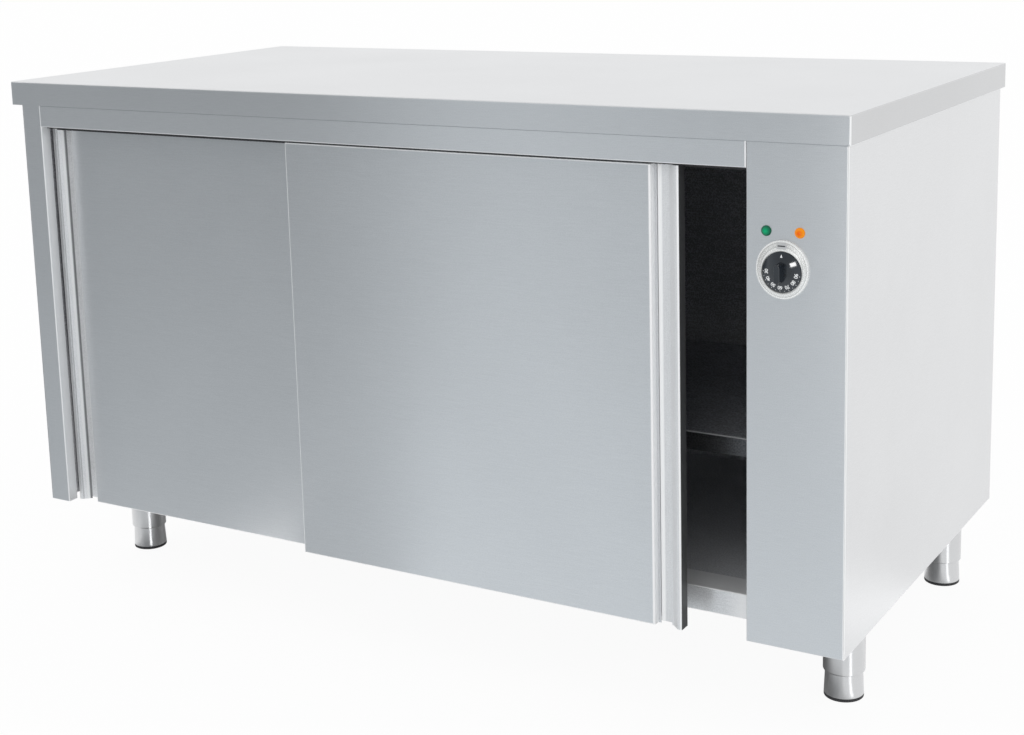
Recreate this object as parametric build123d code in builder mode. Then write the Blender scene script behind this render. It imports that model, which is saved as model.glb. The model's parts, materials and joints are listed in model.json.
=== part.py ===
"""Plate warmer cabinet: a heated stainless-steel cupboard with a worktop and two sliding doors.

Millimetres, +Z up. The origin is on the floor, under the middle of the worktop. +X points to the
right and -Y to the front, where the doors and the control panel are. The front door stands ajar.
"""
import os

from build123d import *

os.makedirs("parts", exist_ok=True)

# ---------------------------------------------------------------- driving dimensions
# Worktop
worktop_length = 1400
worktop_depth = 700
overall_height = 830
worktop_edge = 37
worktop_sheet = 1.5
worktop_return = 30
worktop_fold = 2.0

# Sheet metal of the body
sheet = 1.0
fold_radius = 1.5
flange = 15
body_left_inset = 21
body_right_inset = 2
body_front_inset = 1
body_back_inset = 19
ground_clearance = 135

# Front frame
post_width = 38
post_depth = 19
control_width = 133
control_depth = 20
rail_height = 34
rail_return = 12
rail_flange = 19
rail_end_gap = 0.3

# Sliding doors
door_setback = 11
door_thickness = 20
door_gap = 6
door_top_gap = 4
door_drop = 9
door_overlap = 45
door_tuck = 14
front_door_ajar = 93.7
door_bottom_flange = 5
door_end_gap = 3.3
rear_opening_gap = 16.3

# Grip channel along the outer edge of each door
grip_width = 40
grip_lip = 5
grip_slope_start = 6.2
grip_slope_end = 17.2
grip_depth = 10.5
grip_bend = 5
grip_seam = 0.8
grip_seam_from_wall = 4.5
grip_floor_rise = 3.5

# Door hangers, rollers and upper track
hanger_inset = 70
hanger_length = 40
hanger_plate = 2
hanger_front = 4
roller_radius = 9
roller_width = 7
roller_lift = 20
roller_seat_gap = 0.3
axle_diameter = 5
axle_clearance = 0.05
roller_chamfer = 0.5
track_sheet = 1.5
track_lip = 2.5
track_side_gap = 1.0
roller_side_gap = 1.0
stop_length = 6
stop_width = 4
stop_height = 16
stop_gap = 0.3

# Lower door guide
tongue_length = 12
tongue_height = 18
tongue_inset = 10
tongue_clearance = 2.5
guide_sheet = 1.5
guide_leg = 25
guide_drop = 3

# Sill and heated compartment
sill_gap = 7
sill_height = 35
sill_flange = 50
floor_tuck = 10
back_space = 91
ceiling_drop = 33
beam_width = 40
beam_count = 3
stiffener_width = 60
stiffener_height = 25
stiffener_count = 3
stiffener_spacing = 200
stiffener_end_gap = 40
insulation_gap = 0.4
back_insulation = 60

# Shelf
shelf_top = 375
shelf_front_gap = 42
shelf_back_gap = 35
shelf_side_gap = 1.0
shelf_edge = 25
shelf_fold = 2.0
bracket_length = 40
bracket_leg = 30
bracket_reach = 18
bracket_sheet = 1.5
bracket_inset = 45

# Feet
foot_end_inset = 65
foot_front_inset = 179
foot_back_inset = 41
foot_tube_diameter = 58
foot_tube_wall = 1.5
foot_tube_bottom = 38
foot_tube_rounding = 2.5
foot_plate_width = 57
foot_plate_length = 66
foot_plate_thickness = 3
foot_collar_height = 12
foot_collar_bottom = 60
foot_stem_diameter = 16
foot_stem_top = 112
foot_insert_top_diameter = 52
foot_insert_bottom_diameter = 55
foot_seat_gap = 0.3
pad_thickness = 5
pad_rounding = 1.5
screw_running_gap = 0.1

# Thermostat dial and pilot lamps
dial_inset = 49
dial_below_worktop = 161
dial_bezel_width = 69
dial_bezel_length = 74
dial_bezel_rise = 2.5
dial_bezel_inner = 53.5
dial_bezel_height = 5
dial_bezel_step = 3
dial_bezel_land = 1.5
dial_bezel_rim = 1
dial_seat = 1.5
knob_diameter = 51.5
knob_skirt_edge = 2
knob_dome = 3
knob_grip_height = 15
knob_grip_width = 10
knob_grip_length = 26
knob_grip_taper = 4
knob_grip_rounding = 0.8
knob_gap = 1.0
knob_cap = 1.0
spindle_diameter = 6
spindle_hole = 10
spindle_length = 34
thermostat_size = 50
thermostat_depth = 32
thermostat_rounding = 3
lamp_spacing = 44
lamp_above_dial = 50
lamp_flange_diameter = 13.4
lamp_flange_height = 0.8
lamp_lens_diameter = 12.6
lamp_lens_height = 4
lamp_stem_diameter = 10
lamp_stem_length = 24
hole_clearance = 0.2
spindle_seat_clearance = 0.02

# Hot-air unit in the control box
fan_from_back = 220
fan_height = 560
fan_hole_diameter = 140
impeller_diameter = 130
impeller_width = 34
impeller_hub = 22
impeller_plate = 1.5
blade_count = 10
blade_thickness = 1.5
blade_root = 20
blade_angle = 35
housing_depth = 60
housing_width = 250
housing_top_margin = 90
housing_bottom = 185
motor_diameter = 76
motor_length = 50
motor_rounding = 4
shaft_diameter = 8
shaft_hole = 12
shaft_length = 88
shaft_overhang = 6
heater_diameter = 8.5
heater_clearance = 0.25
heater_bend = 20
heater_width = 150
heater_top = 440
heater_drop = 190
heater_tail = 22
slot_count = 6
slot_length = 150
slot_width = 8
slot_pitch = 20
slot_bottom = 205
guard_wire = 4
guard_wires = 8
guard_pitch = 21
guard_margin = 6
guard_weld_gap = 0.05
bulb_diameter = 7
bulb_length = 90
bulb_stand_off = 6
bulb_height = 640
bulb_clip = 8
bulb_clip_wall = 1

# Back: cable inlet, terminals, vents and screws
gland_inset = 60
gland_height = 255
gland_bore = 9
gland_thread = 16
gland_nut = 24
gland_nut_height = 8
gland_dome = 20
gland_inside = 12
gland_shoulder = 2
gland_taper = 12
terminal_length = 60
terminal_depth = 24
terminal_height = 22
terminal_level = 205
terminal_count = 4
terminal_pitch = 12
terminal_rows = 12
terminal_hole = 4.4
terminal_hole_depth = 9
vent_count = 9
vent_length = 70
vent_width = 5
vent_pitch = 14
vent_drop = 63
screw_head_diameter = 9
screw_head_height = 2.5
screw_rows = 4
screw_edge = 8

# ---------------------------------------------------------------- places worked out from them
top = overall_height
body_top = top - worktop_edge
body_bottom = ground_clearance
body_left = -worktop_length / 2 + body_left_inset
body_right = worktop_length / 2 - body_right_inset
body_front = -worktop_depth / 2 + body_front_inset
body_back = worktop_depth / 2 - body_back_inset
deck = body_bottom + 2 * sheet

post_right = body_left + sheet + post_width
control_left = body_right - control_width
rail_bottom = body_top - rail_height

front_face = body_front + door_setback
rear_face = front_face + door_thickness + door_gap
door_top = rail_bottom - door_top_gap
door_bottom = body_bottom - door_drop
door_height = door_top - door_bottom
front_closed_edge = control_left - door_end_gap
rear_edge = post_right - door_tuck
door_width = (front_closed_edge - rear_edge + door_overlap) / 2
front_edge = front_closed_edge - front_door_ajar

liner_left_face = rear_edge - door_end_gap
partition_face = control_left + sheet
sill_face = rear_face + door_thickness + sill_gap
sill_top = body_bottom + sill_height
compartment_back = body_back - back_space
ceiling = body_top - ceiling_drop
floor_top = sill_top - sheet

roller_z = door_top + roller_lift
ledge_top = roller_z - roller_radius - roller_seat_gap
roller_front = hanger_front + hanger_plate + track_side_gap + track_sheet + track_side_gap
web_front = roller_front + roller_width + track_side_gap + roller_side_gap
track_top = body_top - sheet

control_centre = control_left + dial_inset
dial_z = body_top - dial_below_worktop
fan_y = body_back - fan_from_back

foot_spread = worktop_length / 2 - foot_end_inset
foot_places = {
    "front_left": (-foot_spread, body_front + foot_front_inset),
    "front_right": (foot_spread, body_front + foot_front_inset),
    "back_left": (-foot_spread, body_back - foot_back_inset),
    "back_right": (foot_spread, body_back - foot_back_inset),
}


# ---------------------------------------------------------------- helpers
def slab(x_span, y_span, z_span, mode=Mode.ADD):
    """Adds or cuts a rectangular sheet between the given limits of the part in hand."""
    spans = [sorted(span) for span in (x_span, y_span, z_span)]
    middle = [(low + high) / 2 for low, high in spans]
    size = [high - low for low, high in spans]
    with Locations(tuple(middle)):
        Box(*size, mode=mode)


def bent_sheet(points, radius, thickness, side):
    """Adds the section of a bent sheet, whose outer side follows the points, to a sketch."""
    with BuildLine() as path:
        FilletPolyline(*points, radius=radius)
        offset(amount=thickness, side=side)
    make_face(path.line.edges())


def keep(part, name):
    """Labels a finished piece and writes it to its own file."""
    part.label = name
    export_step(part, f"parts/{name}.step")


# ---------------------------------------------------------------- worktop
with BuildPart() as worktop:
    with BuildSketch(Plane.XY.offset(body_top)):
        Rectangle(worktop_length, worktop_depth)
    extrude(amount=worktop_edge)
    fillet(worktop.edges().filter_by(Axis.Z), worktop_fold)
    fillet(worktop.faces().sort_by(Axis.Z)[-1].edges(), worktop_fold)
    offset(amount=-worktop_sheet, openings=worktop.faces().sort_by(Axis.Z)[0])
    with BuildSketch(Plane.XY.offset(body_top)):
        RectangleRounded(worktop_length, worktop_depth, worktop_fold)
        Rectangle(
            worktop_length - 2 * worktop_return,
            worktop_depth - 2 * worktop_return,
            mode=Mode.SUBTRACT,
        )
    extrude(amount=worktop_sheet)
keep(worktop.part, "worktop")

# Hat-shaped stiffeners under the top sheet
stiffener_reach = worktop_length / 2 - stiffener_end_gap
stiffener_base = top - worktop_sheet - stiffener_height
with BuildPart() as worktop_stiffeners:
    for number in range(stiffener_count):
        middle = (number - (stiffener_count - 1) / 2) * stiffener_spacing
        half = stiffener_width / 2
        crown = top - worktop_sheet
        with BuildSketch(Plane.YZ.offset(-stiffener_reach)):
            bent_sheet(
                [
                    (middle - half, crown),
                    (middle - half / 2, crown),
                    (middle - half / 2, stiffener_base),
                    (middle + half / 2, stiffener_base),
                    (middle + half / 2, crown),
                    (middle + half, crown),
                ],
                fold_radius,
                sheet,
                Side.RIGHT,
            )
        extrude(amount=2 * stiffener_reach)
keep(worktop_stiffeners.part, "worktop_stiffeners")


# ---------------------------------------------------------------- outer panels
def side_panel(outer, inward, flange_front):
    """A side sheet folded inwards at the top, the bottom and the back."""
    with BuildPart() as panel:
        slab(
            (outer, outer + inward * flange),
            (body_front, body_back - sheet),
            (body_bottom, body_top),
        )
        outer_face = panel.faces().sort_by(Axis.X)[0 if inward > 0 else -1]
        fillet(outer_face.edges(), fold_radius)
        inner_face = panel.faces().sort_by(Axis.X)[-1 if inward > 0 else 0]
        offset(amount=-sheet, openings=inner_face)
        slab(
            (outer + inward * sheet, outer + inward * flange),
            (body_front, flange_front),
            (body_bottom, body_top),
            mode=Mode.SUBTRACT,
        )
    return panel.part


keep(side_panel(body_left, 1, body_front + post_depth), "side_panel_left")
keep(side_panel(body_right, -1, body_front + control_depth), "side_panel_right")

with BuildPart() as front_post:
    with BuildSketch(Plane.XY.offset(body_bottom)):
        bent_sheet(
            [
                (body_left + sheet, body_front + post_depth),
                (body_left + sheet, body_front),
                (post_right, body_front),
                (post_right, body_front + post_depth),
                (liner_left_face - sheet, body_front + post_depth),
            ],
            fold_radius,
            sheet,
            Side.LEFT,
        )
    extrude(amount=body_top - body_bottom)
keep(front_post.part, "front_post")

with BuildPart() as front_rail:
    slab(
        (post_right, control_left - rail_end_gap),
        (body_front, body_front + rail_flange),
        (rail_bottom, body_top),
    )
    rail_folds = front_rail.faces().sort_by(Axis.Y)[0].edges().sort_by(Axis.X)[1:]
    fillet(rail_folds, fold_radius)
    rail_openings = [front_rail.faces().sort_by(Axis.Y)[-1], front_rail.faces().sort_by(Axis.X)[0]]
    offset(amount=-sheet, openings=rail_openings)
    slab(
        (post_right, control_left - rail_end_gap),
        (body_front + rail_return, body_front + rail_flange),
        (rail_bottom, body_top - sheet),
        mode=Mode.SUBTRACT,
    )
keep(front_rail.part, "front_rail")

with BuildPart() as control_panel:
    slab(
        (control_left, body_right - sheet),
        (body_front, body_front + control_depth),
        (body_bottom, body_top),
    )
    fillet(control_panel.faces().sort_by(Axis.Y)[0].edges(), fold_radius)
    offset(amount=-sheet, openings=control_panel.faces().sort_by(Axis.Y)[-1])
    with BuildSketch(Plane.XZ.offset(-body_front)):
        with Locations((control_centre, dial_z)):
            Circle(spindle_hole / 2)
        with Locations((control_centre, dial_z + lamp_above_dial)):
            with GridLocations(lamp_spacing, 1, 2, 1):
                Circle(lamp_stem_diameter / 2 + hole_clearance)
    extrude(amount=-2 * sheet, mode=Mode.SUBTRACT)
keep(control_panel.part, "control_panel")

with BuildPart() as back_panel:
    slab(
        (body_left + 2 * sheet, body_right - 2 * sheet),
        (body_back - sheet, body_back),
        (body_bottom + sheet, body_top - sheet),
    )
    for flange_bottom in (deck, body_top - 2 * sheet):
        slab(
            (body_left + flange + sheet, body_right - flange - sheet),
            (body_back - flange, body_back - sheet),
            (flange_bottom, flange_bottom + sheet),
        )
    with BuildSketch(Plane.XZ.offset(-body_back)):
        with Locations((body_right - gland_inset, gland_height)):
            Circle(gland_thread / 2 + hole_clearance)
        for number in range(vent_count):
            with Locations((body_right - gland_inset, body_top - vent_drop - number * vent_pitch)):
                SlotOverall(vent_length, vent_width)
    extrude(amount=2 * sheet, mode=Mode.SUBTRACT)
keep(back_panel.part, "back_panel")

with BuildPart() as bottom_panel:
    with BuildSketch(Plane.XY.offset(body_bottom + sheet)):
        with BuildLine():
            Polyline(
                (body_left + 2 * sheet, sill_face + 2 * sheet),
                (partition_face + sheet, sill_face + 2 * sheet),
                (partition_face + sheet, body_front + 2 * sheet),
                (body_right - 2 * sheet, body_front + 2 * sheet),
                (body_right - 2 * sheet, body_back - 2 * sheet),
                (body_left + 2 * sheet, body_back - 2 * sheet),
                close=True,
            )
        make_face()
    extrude(amount=sheet)
keep(bottom_panel.part, "bottom_panel")

with BuildPart() as sill_rail:
    with BuildSketch(Plane.YZ.offset(liner_left_face)):
        bent_sheet(
            [
                (sill_face + flange, body_bottom),
                (sill_face, body_bottom),
                (sill_face, sill_top),
                (sill_face + sill_flange, sill_top),
            ],
            fold_radius,
            sheet,
            Side.RIGHT,
        )
    extrude(amount=partition_face - liner_left_face)
keep(sill_rail.part, "sill_rail")

# Box-section beams that carry the compartment's floor
beam_pitch = (partition_face - liner_left_face) / beam_count
with BuildPart() as floor_beams:
    for number in range(beam_count):
        middle = liner_left_face + (number + 0.5) * beam_pitch
        with BuildSketch(Plane.XZ.offset(-(sill_face + 2 * sheet))):
            with Locations((middle, (deck + floor_top - sheet) / 2)):
                Rectangle(beam_width, floor_top - sheet - deck)
                Rectangle(
                    beam_width - 2 * sheet, floor_top - 3 * sheet - deck, mode=Mode.SUBTRACT
                )
        extrude(amount=-(compartment_back - sill_face - 2 * sheet))
keep(floor_beams.part, "floor_beams")

# ---------------------------------------------------------------- heated compartment
with BuildPart() as liner_left:
    slab(
        (liner_left_face - sheet, liner_left_face),
        (body_front + post_depth, compartment_back + sheet),
        (deck, ceiling),
    )
keep(liner_left.part, "liner_left")

slot_middle = slot_bottom + (slot_count - 1) * slot_pitch / 2
with BuildPart() as partition:
    slab(
        (partition_face, partition_face + sheet),
        (body_front + 2 * sheet, body_back - flange),
        (deck, track_top),
    )
    with BuildSketch(Plane.YZ.offset(partition_face)):
        with Locations((fan_y, fan_height)):
            Circle(fan_hole_diameter / 2)
        with Locations((fan_y, slot_middle)):
            with GridLocations(1, slot_pitch, 1, slot_count):
                SlotOverall(slot_length, slot_width)
    extrude(amount=sheet, mode=Mode.SUBTRACT)
keep(partition.part, "partition")

with BuildPart() as liner_back:
    slab(
        (liner_left_face, partition_face),
        (compartment_back, compartment_back + sheet),
        (floor_top, ceiling),
    )
keep(liner_back.part, "liner_back")

with BuildPart() as liner_top:
    with BuildSketch(Plane.YZ.offset(liner_left_face - sheet)):
        bent_sheet(
            [
                (compartment_back + sheet, ceiling),
                (sill_face, ceiling),
                (sill_face, track_top - track_sheet),
            ],
            fold_radius,
            sheet,
            Side.RIGHT,
        )
    extrude(amount=partition_face - liner_left_face + sheet)
keep(liner_top.part, "liner_top")

with BuildPart() as liner_floor:
    slab(
        (liner_left_face, partition_face),
        (sill_face + sill_flange - floor_tuck, compartment_back),
        (floor_top - sheet, floor_top),
    )
keep(liner_floor.part, "liner_floor")

# Mineral wool between the skins: left side, back, top and floor
wool_left = body_left + sheet
with BuildPart() as insulation:
    slab(
        (wool_left + insulation_gap, liner_left_face - sheet - insulation_gap),
        (body_front + post_depth + insulation_gap, compartment_back),
        (deck + insulation_gap, ceiling - insulation_gap),
    )
    slab(
        (liner_left_face, partition_face - insulation_gap),
        (compartment_back + sheet + insulation_gap, compartment_back + back_insulation),
        (deck + insulation_gap, ceiling - insulation_gap),
    )
    slab(
        (liner_left_face, partition_face - insulation_gap),
        (sill_face + sheet + insulation_gap, compartment_back),
        (ceiling + sheet + insulation_gap, track_top - sheet - insulation_gap),
    )
    for number in range(beam_count - 1):
        slab(
            (
                liner_left_face + (number + 0.5) * beam_pitch + beam_width / 2 + insulation_gap,
                liner_left_face + (number + 1.5) * beam_pitch - beam_width / 2 - insulation_gap,
            ),
            (sill_face + 2 * sheet + insulation_gap, compartment_back),
            (deck + insulation_gap, floor_top - sheet - insulation_gap),
        )
keep(insulation.part, "insulation")

with BuildPart() as shelf:
    slab(
        (liner_left_face + shelf_side_gap, partition_face - shelf_side_gap),
        (rear_face + door_thickness + shelf_front_gap, compartment_back - shelf_back_gap),
        (shelf_top - shelf_edge, shelf_top),
    )
    fillet(shelf.faces().sort_by(Axis.Z)[-1].edges(), shelf_fold)
    offset(amount=-sheet, openings=shelf.faces().sort_by(Axis.Z)[0])
keep(shelf.part, "shelf")

# Angle brackets under the ends of the shelf
shelf_front = rear_face + door_thickness + shelf_front_gap
shelf_back = compartment_back - shelf_back_gap
shelf_under = shelf_top - shelf_edge
with BuildPart() as shelf_brackets:
    for start in (shelf_front + bracket_inset, shelf_back - bracket_inset - bracket_length):
        for wall, inward in ((liner_left_face, 1), (partition_face, -1)):
            slab(
                (wall, wall + inward * bracket_sheet),
                (start, start + bracket_length),
                (shelf_under - bracket_leg, shelf_under),
            )
            slab(
                (wall, wall + inward * bracket_reach),
                (start, start + bracket_length),
                (shelf_under - bracket_sheet, shelf_under),
            )
keep(shelf_brackets.part, "shelf_brackets")

# ---------------------------------------------------------------- upper track
with BuildPart() as door_track:
    slab(
        (post_right, control_left),
        (body_front + rail_return + sheet, sill_face + sheet),
        (track_top - track_sheet, track_top),
    )
    for face in (front_face, rear_face):
        lip_front = face + hanger_front + hanger_plate + track_side_gap
        web = face + web_front
        slab(
            (post_right, control_left),
            (web, web + track_sheet),
            (ledge_top - track_sheet, track_top - track_sheet),
        )
        slab(
            (post_right, control_left),
            (lip_front, web),
            (ledge_top - track_sheet, ledge_top),
        )
        slab(
            (post_right, control_left),
            (lip_front, lip_front + track_sheet),
            (ledge_top, ledge_top + track_lip),
        )
keep(door_track.part, "door_track")


# ---------------------------------------------------------------- sliding doors
def door_skin(edge, hand, face):
    """The face sheet of a door, folded back on all four sides. hand is 1 with the grip on the right.

    Beside the grip its edge is the wall of the channel and ends in a narrow flange in the floor.
    """
    with BuildPart() as skin:
        slab(
            (edge - hand * grip_width, edge - hand * door_width),
            (face, face + door_thickness - sheet),
            (door_bottom, door_top),
        )
        fillet(skin.faces().sort_by(Axis.Y)[0].edges(), fold_radius)
        offset(amount=-sheet, openings=skin.faces().sort_by(Axis.Y)[-1])
        slab(
            (edge - hand * (grip_width + sheet), edge - hand * grip_width),
            (face + grip_depth + sheet, face + door_thickness),
            (door_bottom, door_top),
            mode=Mode.SUBTRACT,
        )
        slab(
            (edge - hand * (grip_width + sheet), edge - hand * (grip_width - grip_seam_from_wall)),
            (face + grip_depth, face + grip_depth + sheet),
            (door_bottom, door_top),
        )
        slab(
            (edge - hand * (grip_width + sheet), edge - hand * (door_width - sheet)),
            (face + door_bottom_flange, face + door_thickness),
            (door_bottom, door_bottom + sheet),
            mode=Mode.SUBTRACT,
        )
    return skin.part


def door_grip(edge, hand, face):
    """The grip channel: a floor beyond the seam and a sloping flank that comes forward to a lip."""
    floor_start = grip_width - grip_seam_from_wall - grip_seam
    outline = [
        (floor_start, grip_depth),
        (grip_slope_end, grip_depth),
        (grip_slope_start, 0),
        (0, 0),
        (0, door_thickness - sheet),
        (grip_lip + grip_bend, door_thickness - sheet),
    ]
    bends = [grip_bend, grip_bend, fold_radius, fold_radius]
    with BuildPart() as grip:
        with BuildSketch(Plane.XY.offset(door_bottom)):
            bent_sheet(
                [(edge - hand * along, face + deep) for along, deep in outline],
                bends,
                sheet,
                Side.LEFT if hand > 0 else Side.RIGHT,
            )
        extrude(amount=door_height)
        slab(
            (edge - hand * floor_start, edge - hand * grip_slope_end),
            (face + grip_depth, face + grip_depth + sheet),
            (door_bottom, door_bottom + grip_floor_rise),
            mode=Mode.SUBTRACT,
        )
    return grip.part


def door_liner(edge, hand, face):
    """The flat inner sheet that closes a door from behind."""
    with BuildPart() as liner:
        slab(
            (edge - hand * fold_radius, edge - hand * door_width),
            (face + door_thickness - sheet, face + door_thickness),
            (door_bottom + door_bottom_flange, door_top),
        )
    return liner.part


def hanger_middles(edge, hand):
    """The places along X of a door's two hangers."""
    return (edge - hand * hanger_inset, edge - hand * (door_width - hanger_inset))


def door_hangers(edge, hand, face):
    """Two angle brackets on the door's top edge, each with the axle of its roller."""
    with BuildPart() as hangers:
        for middle in hanger_middles(edge, hand):
            ends = (middle - hanger_length / 2, middle + hanger_length / 2)
            slab(
                ends,
                (face + hanger_front, face + door_thickness - hanger_plate),
                (door_top, door_top + hanger_plate),
            )
            slab(
                ends,
                (face + hanger_front, face + hanger_front + hanger_plate),
                (door_top, roller_z + roller_radius),
            )
            with BuildSketch(Plane.XZ.offset(-(face + hanger_front + hanger_plate))):
                with Locations((middle, roller_z)):
                    Circle(axle_diameter / 2)
            extrude(amount=-(roller_front + roller_width - hanger_front - hanger_plate))
    return hangers.part


def door_roller(middle, face):
    """A nylon roller on its axle, resting on the ledge of the track."""
    with BuildPart() as roller:
        with BuildSketch(Plane.XZ.offset(-(face + roller_front))):
            with Locations((middle, roller_z)):
                Circle(roller_radius)
                Circle(axle_diameter / 2 + axle_clearance, mode=Mode.SUBTRACT)
        extrude(amount=-roller_width)
        rims = roller.faces().filter_by(Axis.Y).edges().group_by(SortBy.RADIUS)[-1]
        chamfer(rims, roller_chamfer)
    return roller.part


for door_name, door_edge, door_hand, door_face in (
    ("right", front_edge, 1, front_face),
    ("left", rear_edge, -1, rear_face),
):
    keep(door_skin(door_edge, door_hand, door_face), f"door_{door_name}_skin")
    keep(door_grip(door_edge, door_hand, door_face), f"door_{door_name}_grip")
    keep(door_liner(door_edge, door_hand, door_face), f"door_{door_name}_liner")
    keep(door_hangers(door_edge, door_hand, door_face), f"door_{door_name}_hangers")
    for place, middle in zip(("outer", "inner"), hanger_middles(door_edge, door_hand)):
        keep(door_roller(middle, door_face), f"roller_{door_name}_{place}")

# Rubber stops under the track's top plate, which meet the hangers at both ends of the travel
hanger_end = hanger_inset - hanger_length / 2
stops = (
    (front_closed_edge - hanger_end, 1, front_face),
    (post_right + door_end_gap + hanger_end, -1, front_face),
    (rear_edge + hanger_end, -1, rear_face),
    (partition_face - rear_opening_gap - hanger_end, 1, rear_face),
)
with BuildPart() as door_stops:
    for hanger_x, outward, face in stops:
        near = hanger_x + outward * stop_gap
        middle = face + hanger_front + hanger_plate / 2
        slab(
            (near, near + outward * stop_length),
            (middle - stop_width / 2, middle + stop_width / 2),
            (track_top - track_sheet - stop_height, track_top - track_sheet),
        )
keep(door_stops.part, "door_stops")

# A comb under the sill: its two tongues run inside the doors' bottom edges, at the overlap
front_tongue = front_closed_edge - door_width + sheet + tongue_clearance
rear_tongue = rear_edge + door_width - sheet - tongue_clearance - tongue_length
arm_level = door_bottom - guide_drop
with BuildPart() as door_guide:
    slab(
        (front_tongue, rear_tongue + tongue_length),
        (sill_face + guide_sheet, sill_face + guide_leg),
        (body_bottom - guide_sheet, body_bottom),
    )
    for start, face in ((front_tongue, front_face), (rear_tongue, rear_face)):
        with BuildSketch(Plane.YZ.offset(start)):
            bent_sheet(
                [
                    (sill_face + guide_leg, body_bottom),
                    (sill_face, body_bottom),
                    (sill_face, arm_level),
                    (face + tongue_inset, arm_level),
                    (face + tongue_inset, arm_level + tongue_height),
                ],
                guide_sheet / 2,
                guide_sheet,
                Side.LEFT,
            )
        extrude(amount=tongue_length)
keep(door_guide.part, "door_guide")

# ---------------------------------------------------------------- feet
plate_top = body_bottom + sheet
plate_bottom = plate_top - foot_plate_thickness
tube_radius = foot_tube_diameter / 2
tube_bore = tube_radius - foot_tube_wall
with BuildPart() as foot_plates:
    for x, y in foot_places.values():
        slab(
            (x - foot_plate_width / 2, x + foot_plate_width / 2),
            (y - foot_plate_length / 2, y + foot_plate_length / 2),
            (plate_bottom, plate_top),
        )
keep(foot_plates.part, "foot_plates")

with BuildPart() as foot_tubes:
    for x, y in foot_places.values():
        with BuildSketch(Plane.XY.offset(foot_tube_bottom)):
            with Locations((x, y)):
                Circle(tube_radius)
        extrude(amount=plate_bottom - foot_tube_bottom)
    rims = foot_tubes.faces().group_by(Axis.Z)[0].edges()
    fillet(rims, foot_tube_rounding)
    for x, y in foot_places.values():
        with Locations((x, y, foot_tube_bottom)):
            Cylinder(
                tube_bore,
                foot_collar_bottom - foot_tube_bottom,
                align=(Align.CENTER, Align.CENTER, Align.MIN),
                mode=Mode.SUBTRACT,
            )
        with Locations((x, y, foot_collar_bottom)):
            Cylinder(
                foot_stem_diameter / 2 + screw_running_gap,
                foot_collar_height,
                align=(Align.CENTER, Align.CENTER, Align.MIN),
                mode=Mode.SUBTRACT,
            )
        with Locations((x, y, foot_collar_bottom + foot_collar_height)):
            Cylinder(
                tube_bore,
                plate_bottom - foot_collar_bottom - foot_collar_height,
                align=(Align.CENTER, Align.CENTER, Align.MIN),
                mode=Mode.SUBTRACT,
            )
keep(foot_tubes.part, "foot_tubes")


def foot_insert(x, y):
    """The adjustable lower part of a foot, with the stem that screws into the tube's collar."""
    seat = foot_tube_bottom - foot_seat_gap
    with BuildPart() as insert:
        with BuildSketch(Plane.XZ.offset(-y)):
            with BuildLine():
                Polyline(
                    (x, pad_thickness),
                    (x + foot_insert_bottom_diameter / 2, pad_thickness),
                    (x + foot_insert_top_diameter / 2, seat),
                    (x + foot_stem_diameter / 2, seat),
                    (x + foot_stem_diameter / 2, foot_stem_top),
                    (x, foot_stem_top),
                    close=True,
                )
            make_face()
        revolve(axis=Axis((x, y, 0), (0, 0, 1)))
    return insert.part


def foot_pad(x, y):
    """The rubber sole of a foot."""
    with BuildPart() as pad:
        with BuildSketch():
            with Locations((x, y)):
                Circle(foot_insert_bottom_diameter / 2)
        extrude(amount=pad_thickness)
        fillet(pad.faces().sort_by(Axis.Z)[0].edges(), pad_rounding)
    return pad.part


for corner, (x, y) in foot_places.items():
    keep(foot_insert(x, y), f"foot_insert_{corner}")
    keep(foot_pad(x, y), f"foot_pad_{corner}")

# ---------------------------------------------------------------- dial and lamps
# Sections are drawn in the plane through the axis, as distance from it against distance
# in front of the control panel, and turned about the axis.
dial_axis = Axis((control_centre, body_front, dial_z), (0, -1, 0))
dial_plane = Plane(origin=(control_centre, body_front, dial_z), x_dir=(1, 0, 0), z_dir=(0, 0, 1))
bezel_z = dial_z + dial_bezel_rise
with BuildPart() as dial_bezel:
    with BuildSketch(Plane.XZ.offset(-body_front)):
        with Locations((control_centre, bezel_z)):
            Ellipse(dial_bezel_width / 2, dial_bezel_length / 2)
    extrude(amount=dial_bezel_step)
    with BuildSketch(Plane.XZ.offset(-body_front + dial_bezel_step)):
        with Locations((control_centre, bezel_z)):
            Ellipse(dial_bezel_width / 2 - dial_bezel_rim, dial_bezel_length / 2 - dial_bezel_rim)
    with BuildSketch(Plane.XZ.offset(-body_front + dial_bezel_height)):
        with Locations((control_centre, dial_z)):
            Circle(dial_bezel_inner / 2 + dial_bezel_land)
    loft()
    with BuildSketch(Plane.XZ.offset(-body_front + dial_seat)):
        with Locations((control_centre, dial_z)):
            Circle(dial_bezel_inner / 2)
    extrude(amount=dial_bezel_height - dial_seat, mode=Mode.SUBTRACT)
    with BuildSketch(Plane.XZ.offset(-body_front)):
        with Locations((control_centre, dial_z)):
            Circle(spindle_hole / 2)
    extrude(amount=dial_seat, mode=Mode.SUBTRACT)
keep(dial_bezel.part, "dial_bezel")

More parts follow.
